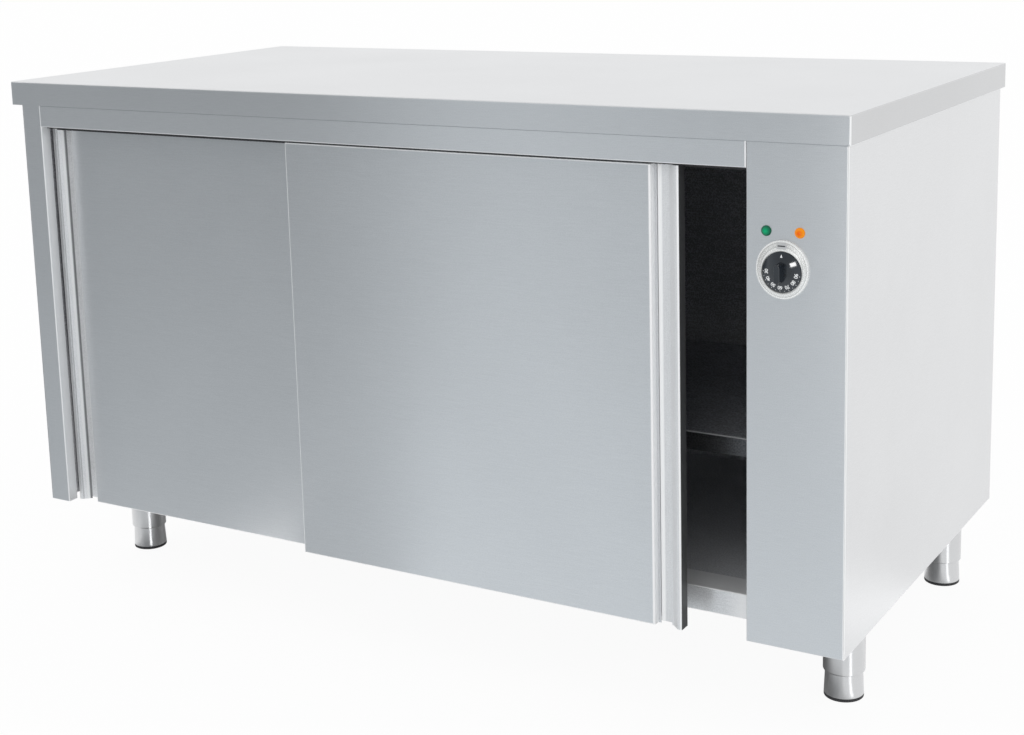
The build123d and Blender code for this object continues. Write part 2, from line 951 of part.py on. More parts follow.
knob_back = dial_seat + knob_gap
knob_edge = knob_back + knob_skirt_edge
knob_top = knob_edge + knob_dome
spindle_seat = knob_top - knob_cap
with BuildPart() as dial_knob:
    with BuildSketch(dial_plane):
        with BuildLine():
            Polyline(
                (0, -knob_top),
                (0, -knob_back),
                (knob_diameter / 2, -knob_back),
                (knob_diameter / 2, -knob_edge),
            )
            TangentArc((0, -knob_top), (knob_diameter / 2, -knob_edge), tangent=(1, 0))
        make_face()
    revolve(axis=dial_axis)
    with BuildSketch(Plane.XZ.offset(-body_front + spindle_seat)):
        with Locations((control_centre, dial_z)):
            SlotOverall(knob_grip_length, knob_grip_width, rotation=90)
    extrude(amount=knob_cap + knob_grip_height, taper=knob_grip_taper)
    fillet(dial_knob.faces().sort_by(Axis.Y)[0].edges(), knob_grip_rounding)
    with BuildSketch(Plane.XZ.offset(-body_front + knob_back)):
        with Locations((control_centre, dial_z)):
            Circle(spindle_diameter / 2 + spindle_seat_clearance)
    extrude(amount=spindle_seat - knob_back, mode=Mode.SUBTRACT)
keep(dial_knob.part, "dial_knob")

with BuildPart() as dial_spindle:
    with BuildSketch(Plane.XZ.offset(-body_front + spindle_seat)):
        with Locations((control_centre, dial_z)):
            Circle(spindle_diameter / 2)
    extrude(amount=-spindle_length)
keep(dial_spindle.part, "dial_spindle")

with BuildPart() as thermostat:
    slab(
        (control_centre - thermostat_size / 2, control_centre + thermostat_size / 2),
        (body_front + sheet, body_front + sheet + thermostat_depth),
        (dial_z - thermostat_size / 2, dial_z + thermostat_size / 2),
    )
    fillet(thermostat.edges().filter_by(Axis.Y), thermostat_rounding)
    with BuildSketch(Plane.XZ.offset(-body_front - sheet)):
        with Locations((control_centre, dial_z)):
            Circle(spindle_diameter / 2 + axle_clearance)
    extrude(amount=-(spindle_length - spindle_seat), mode=Mode.SUBTRACT)
keep(thermostat.part, "thermostat")


def pilot_lamp(x):
    """A pilot lamp: a domed lens on a flange, with the stem that clips into the panel."""
    lamp_z = dial_z + lamp_above_dial
    lamp_plane = Plane(origin=(x, body_front, lamp_z), x_dir=(1, 0, 0), z_dir=(0, 0, 1))
    front = lamp_flange_height
    tip = lamp_flange_height + lamp_lens_height
    with BuildPart() as lamp:
        with BuildSketch(lamp_plane):
            with BuildLine():
                Polyline(
                    (0, -tip),
                    (0, lamp_stem_length),
                    (lamp_stem_diameter / 2, lamp_stem_length),
                    (lamp_stem_diameter / 2, 0),
                    (lamp_flange_diameter / 2, 0),
                    (lamp_flange_diameter / 2, -front),
                    (lamp_lens_diameter / 2, -front),
                )
                TangentArc((0, -tip), (lamp_lens_diameter / 2, -front), tangent=(1, 0))
            make_face()
        revolve(axis=Axis((x, body_front, lamp_z), (0, -1, 0)))
    return lamp.part


keep(pilot_lamp(control_centre - lamp_spacing / 2), "lamp_green")
keep(pilot_lamp(control_centre + lamp_spacing / 2), "lamp_orange")

# ---------------------------------------------------------------- hot-air unit
housing_front = partition_face + sheet
housing_back = housing_front + housing_depth
housing_top = fan_height + housing_top_margin
with BuildPart() as fan_housing:
    slab(
        (housing_front, housing_back),
        (fan_y - housing_width / 2, fan_y + housing_width / 2),
        (housing_bottom, housing_top),
    )
    offset(amount=-sheet, openings=fan_housing.faces().sort_by(Axis.X)[0])
    with BuildSketch(Plane.YZ.offset(housing_back - 2 * sheet)):
        with Locations((fan_y, fan_height)):
            Circle(shaft_hole / 2)
        with Locations((fan_y, heater_top)):
            with GridLocations(heater_width, 1, 2, 1):
                Circle(heater_diameter / 2 + heater_clearance)
    extrude(amount=3 * sheet, mode=Mode.SUBTRACT)
keep(fan_housing.part, "fan_housing")

impeller_back = housing_back - sheet - shaft_overhang
shaft_end = impeller_back - impeller_width + shaft_length
with BuildPart() as fan_impeller:
    with BuildSketch(Plane.YZ.offset(impeller_back - impeller_plate)):
        with Locations((fan_y, fan_height)):
            Circle(impeller_diameter / 2)
    extrude(amount=impeller_plate)
    with BuildSketch(Plane.YZ.offset(impeller_back - impeller_width)):
        with Locations((fan_y, fan_height)):
            Circle(impeller_hub / 2)
    extrude(amount=impeller_width)
    with BuildSketch(Plane.YZ.offset(impeller_back - impeller_width)):
        with Locations((fan_y, fan_height)):
            with PolarLocations((impeller_diameter / 2 + blade_root) / 2, blade_count):
                Rectangle(impeller_diameter / 2 - blade_root, blade_thickness, rotation=blade_angle)
    extrude(amount=impeller_width - impeller_plate)
    with BuildSketch(Plane.YZ.offset(impeller_back - impeller_width)):
        with Locations((fan_y, fan_height)):
            Circle(shaft_diameter / 2)
    extrude(amount=impeller_width, mode=Mode.SUBTRACT)
keep(fan_impeller.part, "fan_impeller")

with BuildPart() as fan_shaft:
    with BuildSketch(Plane.YZ.offset(impeller_back - impeller_width)):
        with Locations((fan_y, fan_height)):
            Circle(shaft_diameter / 2)
    extrude(amount=shaft_length)
keep(fan_shaft.part, "fan_shaft")

with BuildPart() as fan_motor:
    with BuildSketch(Plane.YZ.offset(housing_back)):
        with Locations((fan_y, fan_height)):
            Circle(motor_diameter / 2)
    extrude(amount=motor_length)
    fillet(fan_motor.faces().sort_by(Axis.X)[-1].edges(), motor_rounding)
    with BuildSketch(Plane.YZ.offset(housing_back)):
        with Locations((fan_y, fan_height)):
            Circle(shaft_diameter / 2 + axle_clearance)
    extrude(amount=shaft_end + sheet - housing_back, mode=Mode.SUBTRACT)
keep(fan_motor.part, "fan_motor")

# Tubular heating element: a hairpin in the duct, both tails through the housing's wall
heater_x = (housing_front + housing_back) / 2
with BuildPart() as heater_element:
    with BuildLine() as route:
        FilletPolyline(
            (housing_back + heater_tail, fan_y - heater_width / 2, heater_top),
            (heater_x, fan_y - heater_width / 2, heater_top),
            (heater_x, fan_y - heater_width / 2, heater_top - heater_drop),
            (heater_x, fan_y + heater_width / 2, heater_top - heater_drop),
            (heater_x, fan_y + heater_width / 2, heater_top),
            (housing_back + heater_tail, fan_y + heater_width / 2, heater_top),
            radius=heater_bend,
        )
    with BuildSketch(Plane(route.line @ 0, z_dir=route.line % 0)):
        Circle(heater_diameter / 2)
    sweep(path=route.line)
keep(heater_element.part, "heater_element")

# Wire guard over the fan's inlet, on the inner side of the partition: upright wires on two cross wires
guard_reach = fan_hole_diameter / 2 + guard_margin
cross_wire_x = partition_face - guard_wire / 2
upright_wire_x = cross_wire_x - guard_wire - guard_weld_gap
with BuildPart() as fan_guard:
    with BuildSketch(Plane.XY.offset(fan_height - guard_reach)):
        with Locations((upright_wire_x, fan_y)):
            with GridLocations(1, guard_pitch, 1, guard_wires):
                Circle(guard_wire / 2)
    extrude(amount=2 * guard_reach)
    with BuildSketch(Plane.XZ.offset(guard_reach - fan_y)):
        with Locations((cross_wire_x, fan_height)):
            with GridLocations(1, fan_hole_diameter + guard_wire, 1, 2):
                Circle(guard_wire / 2)
    extrude(amount=-2 * guard_reach)
keep(fan_guard.part, "fan_guard")

# Temperature bulb, clipped to the back wall of the compartment
bulb_x = partition_face - bulb_length - 2 * bulb_stand_off
bulb_y = compartment_back - bulb_stand_off - bulb_diameter / 2
bulb_clip_height = bulb_diameter + 2 * bulb_clip_wall
with BuildPart() as thermostat_bulb:
    with BuildSketch(Plane.YZ.offset(bulb_x)):
        with Locations((bulb_y, bulb_height)):
            Circle(bulb_diameter / 2)
    extrude(amount=bulb_length)
    for share in (0.25, 0.75):
        middle = bulb_x + bulb_length * share
        slab(
            (middle - bulb_clip / 2, middle + bulb_clip / 2),
            (bulb_y, compartment_back),
            (bulb_height - bulb_clip_height / 2, bulb_height + bulb_clip_height / 2),
        )
keep(thermostat_bulb.part, "thermostat_bulb")

# ---------------------------------------------------------------- cable inlet, terminals, screws
gland_x = body_right - gland_inset
gland_axis_plane = Plane.XZ.offset(-body_back)
with BuildPart() as cable_gland:
    with BuildSketch(gland_axis_plane):
        with Locations((gland_x, gland_height)):
            RegularPolygon(gland_nut / 2, 6)
    extrude(amount=-gland_nut_height)
    with BuildSketch(Plane.XZ.offset(-(body_back + gland_nut_height))):
        with Locations((gland_x, gland_height)):
            Circle(gland_nut / 2 - gland_shoulder)
    extrude(amount=-gland_dome, taper=gland_taper)
    with BuildSketch(gland_axis_plane):
        with Locations((gland_x, gland_height)):
            Circle(gland_thread / 2)
    extrude(amount=gland_inside)
    with BuildSketch(Plane.XZ.offset(-(body_back - gland_inside))):
        with Locations((gland_x, gland_height)):
            Circle(gland_bore / 2)
    extrude(amount=-(gland_inside + gland_nut_height + gland_dome), mode=Mode.SUBTRACT)
keep(cable_gland.part, "cable_gland")

with BuildPart() as terminal_block:
    slab(
        (gland_x - terminal_length / 2, gland_x + terminal_length / 2),
        (body_back - sheet - terminal_depth, body_back - sheet),
        (terminal_level, terminal_level + terminal_height),
    )
    with BuildSketch(Plane.XY.offset(terminal_level + terminal_height)):
        with Locations((gland_x, body_back - sheet - terminal_depth / 2)):
            with GridLocations(terminal_pitch, terminal_rows, terminal_count, 2):
                Circle(terminal_hole / 2)
    extrude(amount=-terminal_hole_depth, mode=Mode.SUBTRACT)
keep(terminal_block.part, "terminal_block")

# Pan-head screws down both edges of the back panel
screw_pitch = (body_top - body_bottom - 4 * flange) / (screw_rows - 1)
with BuildPart() as back_screws:
    for x in (body_left + screw_edge, body_right - screw_edge):
        for number in range(screw_rows):
            level = body_bottom + 2 * flange + number * screw_pitch
            with BuildSketch(Plane.XZ.offset(-body_back)):
                with Locations((x, level)):
                    Circle(screw_head_diameter / 2)
            extrude(amount=-screw_head_height)
    heads = back_screws.faces().group_by(Axis.Y)[-1].edges()
    fillet(heads, screw_head_height / 2)
keep(back_screws.part, "back_screws")
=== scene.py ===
"""Looks of the plate warmer cabinet: brushed stainless steel in a plain white studio."""
import json
import math

import bmesh
import bpy
from mathutils import Matrix, Vector


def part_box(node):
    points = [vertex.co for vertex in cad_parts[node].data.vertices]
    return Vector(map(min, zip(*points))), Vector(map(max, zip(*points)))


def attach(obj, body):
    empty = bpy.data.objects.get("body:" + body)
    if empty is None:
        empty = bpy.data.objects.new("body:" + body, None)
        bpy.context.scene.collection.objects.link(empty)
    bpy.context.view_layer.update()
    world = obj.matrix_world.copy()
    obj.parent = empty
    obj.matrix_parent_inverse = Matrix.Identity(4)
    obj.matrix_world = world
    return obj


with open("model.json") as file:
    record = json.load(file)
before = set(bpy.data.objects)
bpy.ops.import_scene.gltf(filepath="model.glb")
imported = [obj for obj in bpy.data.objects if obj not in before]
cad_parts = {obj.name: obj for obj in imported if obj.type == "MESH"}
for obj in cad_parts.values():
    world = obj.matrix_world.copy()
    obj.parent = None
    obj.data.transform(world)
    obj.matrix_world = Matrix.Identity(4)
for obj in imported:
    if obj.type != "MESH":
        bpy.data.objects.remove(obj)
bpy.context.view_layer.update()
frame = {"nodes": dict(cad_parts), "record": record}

NODES = frame["nodes"]
MM = 0.001
X, Y, Z = range(3)
LOW, HIGH = range(2)


def link(obj):
    bpy.context.scene.collection.objects.link(obj)
    return obj


# ---------------------------------------------------------------- camera
# The photograph's frame, and the lens and place from which its straight edges line up.
FRAME_WIDTH = 1024
SENSOR = 36.0
FOCAL_PIXELS = 1716.2
SHIFT_PIXELS = -140.0
NEAREST_SEEN = 0.05
FARTHEST_SEEN = 200.0
CAMERA_PLACE = Vector((1.3873, -2.3038, 1.0826))
CAMERA_AZIMUTH = math.radians(30.715)
CAMERA_ELEVATION = math.radians(10.545)
CAMERA_ROLL = math.radians(-1.476)


def make_camera():
    """The camera at the photograph's place, with its lens, shift and roll."""
    data = bpy.data.cameras.new("camera")
    data.sensor_width = SENSOR
    data.lens = FOCAL_PIXELS / FRAME_WIDTH * SENSOR
    data.shift_y = SHIFT_PIXELS / FRAME_WIDTH
    data.clip_start = NEAREST_SEEN
    data.clip_end = FARTHEST_SEEN
    camera = link(bpy.data.objects.new("camera", data))
    back = Vector((
        math.sin(CAMERA_AZIMUTH) * math.cos(CAMERA_ELEVATION),
        -math.cos(CAMERA_AZIMUTH) * math.cos(CAMERA_ELEVATION),
        math.sin(CAMERA_ELEVATION),
    ))
    right = (-back).cross(Vector((0, 0, 1))).normalized()
    up = right.cross(-back)
    level = Matrix((right, up, back)).transposed()
    turned = level @ Matrix.Rotation(CAMERA_ROLL, 3, "Z")
    camera.matrix_world = Matrix.Translation(CAMERA_PLACE) @ turned.to_4x4()
    bpy.context.scene.camera = camera


# ---------------------------------------------------------------- node helpers
WHITE = (1.0, 1.0, 1.0, 1.0)
# The middle of a noise's range, in which nearly all of its values lie
NOISE_LOW = 0.3
NOISE_HIGH = 0.7


class Shader:
    """A material's node tree with one Principled shader, and short calls to build on it."""

    def __init__(self, name, colour, roughness, metallic=0.0):
        self.material = bpy.data.materials.new(name)
        self.material.use_nodes = True
        self.tree = self.material.node_tree
        self.tree.nodes.clear()
        self.output = self.tree.nodes.new("ShaderNodeOutputMaterial")
        self.principled = self.tree.nodes.new("ShaderNodeBsdfPrincipled")
        self.show(self.principled.outputs["BSDF"])
        self.set("Base Color", (*colour, 1.0))
        self.set("Roughness", roughness)
        self.set("Metallic", metallic)

    def show(self, closure):
        """Gives the surface to the output of a shader node."""
        self.tree.links.new(closure, self.output.inputs["Surface"])

    def set(self, socket, value):
        self.principled.inputs[socket].default_value = value

    def drive(self, socket, source):
        self.tree.links.new(source, self.principled.inputs[socket])

    def node(self, kind, links=(), **settings):
        """A node with the given properties, and sockets linked or set by number or name."""
        made = self.tree.nodes.new(kind)
        for name, value in settings.items():
            setattr(made, name, value)
        for socket, value in dict(links).items():
            if isinstance(value, bpy.types.NodeSocket):
                self.tree.links.new(value, made.inputs[socket])
            else:
                made.inputs[socket].default_value = value
        return made

    def math(self, operation, *values):
        return self.node("ShaderNodeMath", enumerate(values), operation=operation).outputs[0]

    def vector_math(self, operation, links, output=0):
        return self.node("ShaderNodeVectorMath", links, operation=operation).outputs[output]

    def scaled(self, vector, scale):
        return self.vector_math("MULTIPLY", {0: vector, 1: scale})

    def split(self, vector):
        """The three numbers of a vector."""
        return self.node("ShaderNodeSeparateXYZ", {0: vector}).outputs

    def place(self):
        """The point of the surface in metres, in the part's own frame."""
        return self.node("ShaderNodeTexCoord").outputs["Object"]

    def noise(self, vector, scale=1.0, detail=2.0, roughness=0.5):
        """Noise from 0 to 1 around one half."""
        links = {"Vector": vector, "Scale": scale, "Detail": detail, "Roughness": roughness}
        return self.node("ShaderNodeTexNoise", links).outputs[0]

    def between(self, factor, low, high, from_low=0.0, from_high=1.0):
        """Goes from low to high as factor goes from from_low to from_high."""
        links = {0: factor, 1: from_low, 2: from_high, 3: low, 4: high}
        return self.node("ShaderNodeMapRange", links).outputs[0]

    def spread(self, noise, low, high):
        """Goes from low to high over the middle of a noise."""
        return self.between(noise, low, high, NOISE_LOW, NOISE_HIGH)

    def tint(self, factor, first, second):
        """A colour that goes from first to second as factor goes from 0 to 1."""
        mix = self.node("ShaderNodeMix", {"Factor": factor}, data_type="RGBA")
        for name, value in (("A", first), ("B", second)):
            target = [s for s in mix.inputs if s.name == name and s.type == "RGBA"][0]
            if isinstance(value, bpy.types.NodeSocket):
                self.tree.links.new(value, target)
            else:
                target.default_value = (*value, 1.0)
        return [s for s in mix.outputs if s.type == "RGBA"][0]

    def ramp(self, factor, stops, colour=(1.0, 1.0, 1.0), scale=1.0):
        """A smooth ramp of colour through (place, level) stops, placed in the factor's measure."""
        first, last = stops[0][0], stops[-1][0]
        made = self.node("ShaderNodeValToRGB", {0: self.between(factor, 0.0, 1.0, first, last)})
        made.color_ramp.interpolation = "EASE"
        elements = made.color_ramp.elements
        while len(elements) < len(stops):
            elements.new(0.5)
        for element, (place, level) in zip(elements, stops):
            element.position = (place - first) / (last - first)
            element.color = (*(level * scale * channel for channel in colour), 1.0)
        return made.outputs[0]

    def bump(self, height, strength, distance, normal=None):
        links = {"Height": height, "Strength": strength, "Distance": distance}
        if normal is not None:
            links["Normal"] = normal
        return self.node("ShaderNodeBump", links).outputs[0]

    def glow(self, colour, strength=1.0):
        """Makes the whole surface shine with the given colour, for cards that only metal sees."""
        links = {"Color": colour, "Strength": strength}
        self.show(self.node("ShaderNodeEmission", links).outputs[0])


# ---------------------------------------------------------------- materials
def shade(colour, factor):
    return tuple(channel * factor for channel in colour)


# Grain of the ground sheets, in cells per metre along and across the grinding
GRAIN_ALONG = 40.0
GRAIN_ACROSS = 1100.0
CLOUD_SCALE = 5.0
# Shares of the sheet's contrast that speckle and clouds have, and the widest step of its tone
SPECKLE_SHARE = 1.5
CLOUD_SHARE = 0.5
TONE_SPREAD = 0.25
SHEEN_SPREAD = 0.03
GRINDING_STRENGTH = 0.15
GRINDING_DEPTH = 0.02 * MM
WAVE_SCALE = 2.5
WAVE_DEPTH = 0.6 * MM
# Level grinding has one tangent. Upright grinding has the one that crosses the normal and this
# direction, which no face's normal follows exactly.
LEVEL_TANGENT = (0.0, 0.02, 1.0)
UPRIGHT_CROSSED = (0.01, 0.02, 1.0)
# A face looks along an axis if that part of its normal is over the first number, and away from it
# if that part is under the second.
LOOKS_ALONG = 0.7
LOOKS_AWAY = 0.2
# A fold's painted highlight is full where the largest part of its normal is the first number, and
# ends at the second.
FOLD_ROUNDNESS = (0.97, 0.999)
# The colour and metallic of the painted highlights, and the colour of the painted shade lines
FOLD_WHITE = (0.96, 0.965, 0.97)
FOLD_METALLIC = 0.15
CREASE_DARK = (0.08, 0.08, 0.085)
# A line is full up to the first share of its half width, and ends at the second.
LINE_EDGE = (0.6, 1.2)


def brushed_steel(name, colour, roughness=0.34, anisotropy=0.75, contrast=0.03, upright=False,
                  metallic=1.0, side_tone=1.0, front_tone=1.0, folds=None, lines=(),
                  bright_sides=0.0, creases=(), relief=1.0, speckle_scale=900.0):
    """Stainless sheet ground in level or upright lines: fine streaks, faint clouds, slight wave.

    The side and front shading factors scale the colour of the faces that look sideways and to the
    front: painted shade under 1, painted light over 1. Rounded fold edges get a painted highlight,
    pale and less metallic: "all" of them or the "upright" ones. lines are more painted highlights
    as (axis, place, half width, strength); the side highlight is the strength of a painted
    highlight on the narrow faces that look sideways. The shade lines are painted shade in bends,
    given like lines.
    relief scales the depth of the grinding and of the wave.
    """
    made = Shader(name, colour, roughness, metallic)
    point = made.place()
    place = made.split(point)
    normal = made.node("ShaderNodeNewGeometry").outputs["Normal"]
    facing = [made.math("ABSOLUTE", part) for part in made.split(normal)]
    if upright:
        grain_vector = made.scaled(point, (GRAIN_ACROSS, GRAIN_ACROSS, GRAIN_ALONG))
        tangent = made.vector_math("CROSS_PRODUCT", {0: normal, 1: UPRIGHT_CROSSED})
    else:
        level = made.math("GREATER_THAN", facing[Z], LOOKS_ALONG)
        upright_grain = made.scaled(point, (GRAIN_ALONG, GRAIN_ALONG, GRAIN_ACROSS))
        level_grain = made.scaled(point, (GRAIN_ALONG, GRAIN_ACROSS, GRAIN_ACROSS))
        links = {0: level, 4: upright_grain, 5: level_grain}
        grain_vector = made.node("ShaderNodeMix", links, data_type="VECTOR").outputs[1]
        tangent = made.node("ShaderNodeCombineXYZ", enumerate(LEVEL_TANGENT)).outputs[0]
    streaks = made.noise(grain_vector, detail=3.0, roughness=0.65)
    speckle = made.noise(point, scale=speckle_scale, detail=1.0)
    clouds = made.noise(point, scale=CLOUD_SCALE, detail=3.0)
    streak_tone, speckle_tone, cloud_tone = (
        made.spread(noise, -share * contrast, share * contrast)
        for noise, share in ((streaks, 1.0), (speckle, SPECKLE_SHARE), (clouds, CLOUD_SHARE))
    )
    tone = made.math("ADD", made.math("ADD", streak_tone, speckle_tone), cloud_tone)
    factor = made.between(tone, 0.0, 1.0, -TONE_SPREAD, TONE_SPREAD)
    base = made.tint(factor, shade(colour, 1 - TONE_SPREAD), shade(colour, 1 + TONE_SPREAD))
    # Painted shade on faces that look sideways and to the front, and painted light where the factor
    # is over 1
    for axis, share in ((X, side_tone), (Y, front_tone)):
        if share != 1.0:
            looks_there = made.math("GREATER_THAN", facing[axis], LOOKS_ALONG)
            base = made.tint(looks_there, base, made.scaled(base, (share, share, share)))

    def line(axis, where, half_width, strength):
        off = made.math("ABSOLUTE", made.math("SUBTRACT", place[axis], where))
        full, end = (share * half_width for share in LINE_EDGE)
        return made.between(off, strength, 0.0, full, end)

    # Masks of painted highlight: on rounded fold edges, along the lines and on the sideways faces
    marks = []
    if folds:
        squarest = made.math("MAXIMUM", made.math("MAXIMUM", facing[X], facing[Y]), facing[Z])
        fold = made.between(squarest, 1.0, 0.0, *FOLD_ROUNDNESS)
        if folds == "upright":
            is_upright = made.math("LESS_THAN", facing[Z], LOOKS_AWAY)
            fold = made.math("MULTIPLY", fold, is_upright)
        marks.append(fold)
    marks += [line(*row) for row in lines]
    if bright_sides:
        looks_aside = made.math("GREATER_THAN", facing[X], LOOKS_ALONG)
        marks.append(made.math("MULTIPLY", looks_aside, bright_sides))
    if marks:
        bright = marks[0]
        for mark in marks[1:]:
            bright = made.math("MAXIMUM", bright, mark)
        base = made.tint(bright, base, FOLD_WHITE)
        made.drive("Metallic", made.between(bright, metallic, FOLD_METALLIC))
    # Painted shade in the dark lines of bends and inner corners
    for row in creases:
        base = made.tint(line(*row), base, CREASE_DARK)
    made.drive("Base Color", base)
    sheen = SHEEN_SPREAD * min(relief, 1.0)
    made.drive("Roughness", made.spread(streaks, roughness - sheen, roughness + sheen))
    made.set("Anisotropic", anisotropy)
    made.drive("Tangent", tangent)
    wave = made.noise(point, scale=WAVE_SCALE, detail=1.0)
    wavy = made.bump(wave, 1.0, WAVE_DEPTH * relief)
    ground = made.bump(streaks, GRINDING_STRENGTH, GRINDING_DEPTH * relief, wavy)
    made.drive("Normal", ground)
    return made.material


MOTTLE_SHEEN = 0.15
MOTTLE_STRENGTH = 0.3


def simple(name, colour, roughness, metallic=0.0, bump=0.0, scale=300.0, spread=0.12, gloss=0.5):
    """A plain surface with fine mottling of its colour, sheen and height."""
    made = Shader(name, colour, roughness, metallic)
    made.set("Specular IOR Level", gloss)
    grain = made.noise(made.place(), scale=scale, detail=3.0)
    colours = shade(colour, 1 - spread), shade(colour, 1 + spread)
    made.drive("Base Color", made.tint(grain, *colours))
    sheens = roughness * (1 - MOTTLE_SHEEN), roughness * (1 + MOTTLE_SHEEN)
    made.drive("Roughness", made.spread(grain, *sheens))
    if bump:
        made.drive("Normal", made.bump(grain, MOTTLE_STRENGTH, bump))
    return made.material


def front_oval(node):
    """A node seen from the front: its centre to the right and up, half its width and height."""
    low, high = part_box(node)
    centre = (low[X] + high[X]) / 2, (low[Z] + high[Z]) / 2
    return centre, (high[X] - low[X]) / 2, (high[Z] - low[Z]) / 2


def way_out(made, node):
    """How far out a point of a round front piece lies: 0 on its centre, 1 on its rim."""
    centre, half_width, half_height = front_oval(node)
    place = made.split(made.place())
    across = made.math("DIVIDE", made.math("SUBTRACT", place[X], centre[0]), half_width)
    up = made.math("DIVIDE", made.math("SUBTRACT", place[Z], centre[1]), half_height)
    squares = made.math("ADD", made.math("MULTIPLY", across, across), made.math("MULTIPLY", up, up))
    return made.math("SQRT", squares)


LENS_GLOSS = 0.25
LENS_SHEEN = (0.08, 0.2)
# Where the colour of the middle goes over to the rim's, and how much grain breaks that up
LENS_BLEND = (0.15, 0.85)
LENS_GRAIN = 900.0
LENS_GRAIN_SHARE = 0.3
LENS_RINGS = 30.0
LENS_RING_STRENGTH = 0.4
LENS_RING_DEPTH = 0.06 * MM


def lens(name, node, middle, rim):
    """A clear coloured cap over a lamp: brighter or darker in the middle, with moulded rings."""
    made = Shader(name, middle, 0.12)
    made.set("Specular IOR Level", LENS_GLOSS)
    out = way_out(made, node)
    grain = made.noise(made.place(), scale=LENS_GRAIN, detail=2.0)
    shift = made.math("MULTIPLY", made.math("SUBTRACT", grain, 0.5), LENS_GRAIN_SHARE)
    blend = made.between(made.math("ADD", out, shift), 0.0, 1.0, *LENS_BLEND)
    made.drive("Base Color", made.tint(blend, middle, rim))
    made.drive("Roughness", made.spread(grain, *LENS_SHEEN))
    rings = made.math("SINE", made.math("MULTIPLY", out, LENS_RINGS))
    made.drive("Normal", made.bump(rings, LENS_RING_STRENGTH, LENS_RING_DEPTH))
    return made.material


# Levels of painted highlight and painted shade on the bezel's turned steps, from its inner edge
# out: (way out, level)
BEZEL_RINGS = (
    (0.70, 0.95), (0.775, 1.0), (0.80, 0.62), (0.83, 0.86),
    (0.90, 0.86), (0.93, 0.60), (0.95, 1.0), (1.02, 1.0),
)
BEZEL_COLOUR = (0.97, 0.97, 0.95)
BEZEL_GRAIN = 1500.0
BEZEL_TONES = (0.96, 1.04)
BEZEL_SHEEN = (0.2, 0.32)
BEZEL_TURNS = 260.0
BEZEL_TURN_STRENGTH = 0.3
BEZEL_TURN_DEPTH = 0.01 * MM


def bezel():
    """Satin chrome with painted highlight and painted shade rings on its turned steps, and fine
    turned lines.
    """
    made = Shader("bezel_metal", (0.90, 0.90, 0.88), 0.25, metallic=0.5)
    out = way_out(made, "dial_bezel")
    rings = made.ramp(out, BEZEL_RINGS, BEZEL_COLOUR)
    grain = made.noise(made.place(), scale=BEZEL_GRAIN, detail=2.0)
    tone = made.spread(grain, *BEZEL_TONES)
    made.drive("Base Color", made.vector_math("SCALE", {0: rings, "Scale": tone}))
    made.drive("Roughness", made.spread(grain, *BEZEL_SHEEN))
    turned = made.math("SINE", made.math("MULTIPLY", out, BEZEL_TURNS))
    made.drive("Normal", made.bump(turned, BEZEL_TURN_STRENGTH, BEZEL_TURN_DEPTH))
    return made.material


STEEL = (0.745, 0.752, 0.762)
# Lines as (axis, place, half width, strength): painted light over the lower room, which the shelf
# shades, and a painted highlight along the shelf's front edge
LOWER_LINER = (Z, 0.22, 0.18, 0.4)
SHELF_EDGE = (Y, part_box("shelf")[LOW][Y] + 2.6 * MM, 2.1 * MM, 0.8)

# The record's material slots: the brushed sheets, and the plain materials
BRUSHED = {
    # Painted shade on the worktop's and the body's sideways faces, and painted highlights on their
    # folds and the doors'
    "worktop_steel": dict(colour=STEEL, side_tone=0.80, folds="upright"),
    "body_steel": dict(colour=STEEL, side_tone=0.965, folds="all"),
    "door_steel": dict(colour=STEEL, folds="all"),
    "foot_steel": dict(
        colour=shade(STEEL, 0.88), roughness=0.29, anisotropy=0.8, contrast=0.015, relief=0.0,
    ),
    "inner_steel": dict(colour=(0.55, 0.56, 0.58), roughness=0.4),
    "liner_steel": dict(
        colour=(0.50, 0.51, 0.54), roughness=0.6, metallic=0.4, contrast=0.3,
        speckle_scale=420.0, lines=(LOWER_LINER,),
    ),
    # The shelf's front faces are darkened as painted shade
    "shelf_steel": dict(
        colour=(0.62, 0.63, 0.66), roughness=0.45, metallic=0.92, contrast=0.2, front_tone=0.2,
        speckle_scale=420.0, lines=(SHELF_EDGE,),
    ),
}
PLAIN = {
    "mineral_wool": dict(colour=(0.72, 0.62, 0.30), roughness=0.95, bump=4 * MM, scale=90.0),
    "black_rubber": dict(colour=(0.03, 0.03, 0.033), roughness=0.75, bump=0.3 * MM),
    "knob_plastic": dict(
        colour=(0.008, 0.012, 0.018), roughness=0.07, spread=0.5, scale=60.0, gloss=1.0,
    ),
    "shaft_steel": dict(colour=(0.60, 0.60, 0.62), roughness=0.3, metallic=1.0, spread=0.05),
    "black_plastic": dict(colour=(0.03, 0.03, 0.03), roughness=0.5, bump=0.2 * MM),
    "copper_bulb": dict(colour=(0.72, 0.42, 0.28), roughness=0.35, metallic=1.0),
    "motor_paint": dict(colour=(0.08, 0.08, 0.085), roughness=0.35, bump=0.2 * MM),
    "impeller_metal": dict(colour=(0.75, 0.76, 0.77), roughness=0.35, metallic=1.0),
    "guard_chrome": dict(colour=(0.75, 0.76, 0.78), roughness=0.15, metallic=1.0, spread=0.03),
    "heater_steel": dict(colour=(0.25, 0.22, 0.20), roughness=0.5, metallic=1.0, spread=0.3),
    "nylon": dict(colour=(0.85, 0.85, 0.80), roughness=0.45, spread=0.04),
    "terminal_ceramic": dict(colour=(0.86, 0.84, 0.78), roughness=0.6, spread=0.05),
    "screw_steel": dict(colour=(0.65, 0.66, 0.68), roughness=0.28, metallic=1.0, spread=0.05),
}
materials = {name: brushed_steel(name, **settings) for name, settings in BRUSHED.items()}
materials |= {name: simple(name, **settings) for name, settings in PLAIN.items()}
materials["bezel_metal"] = bezel()
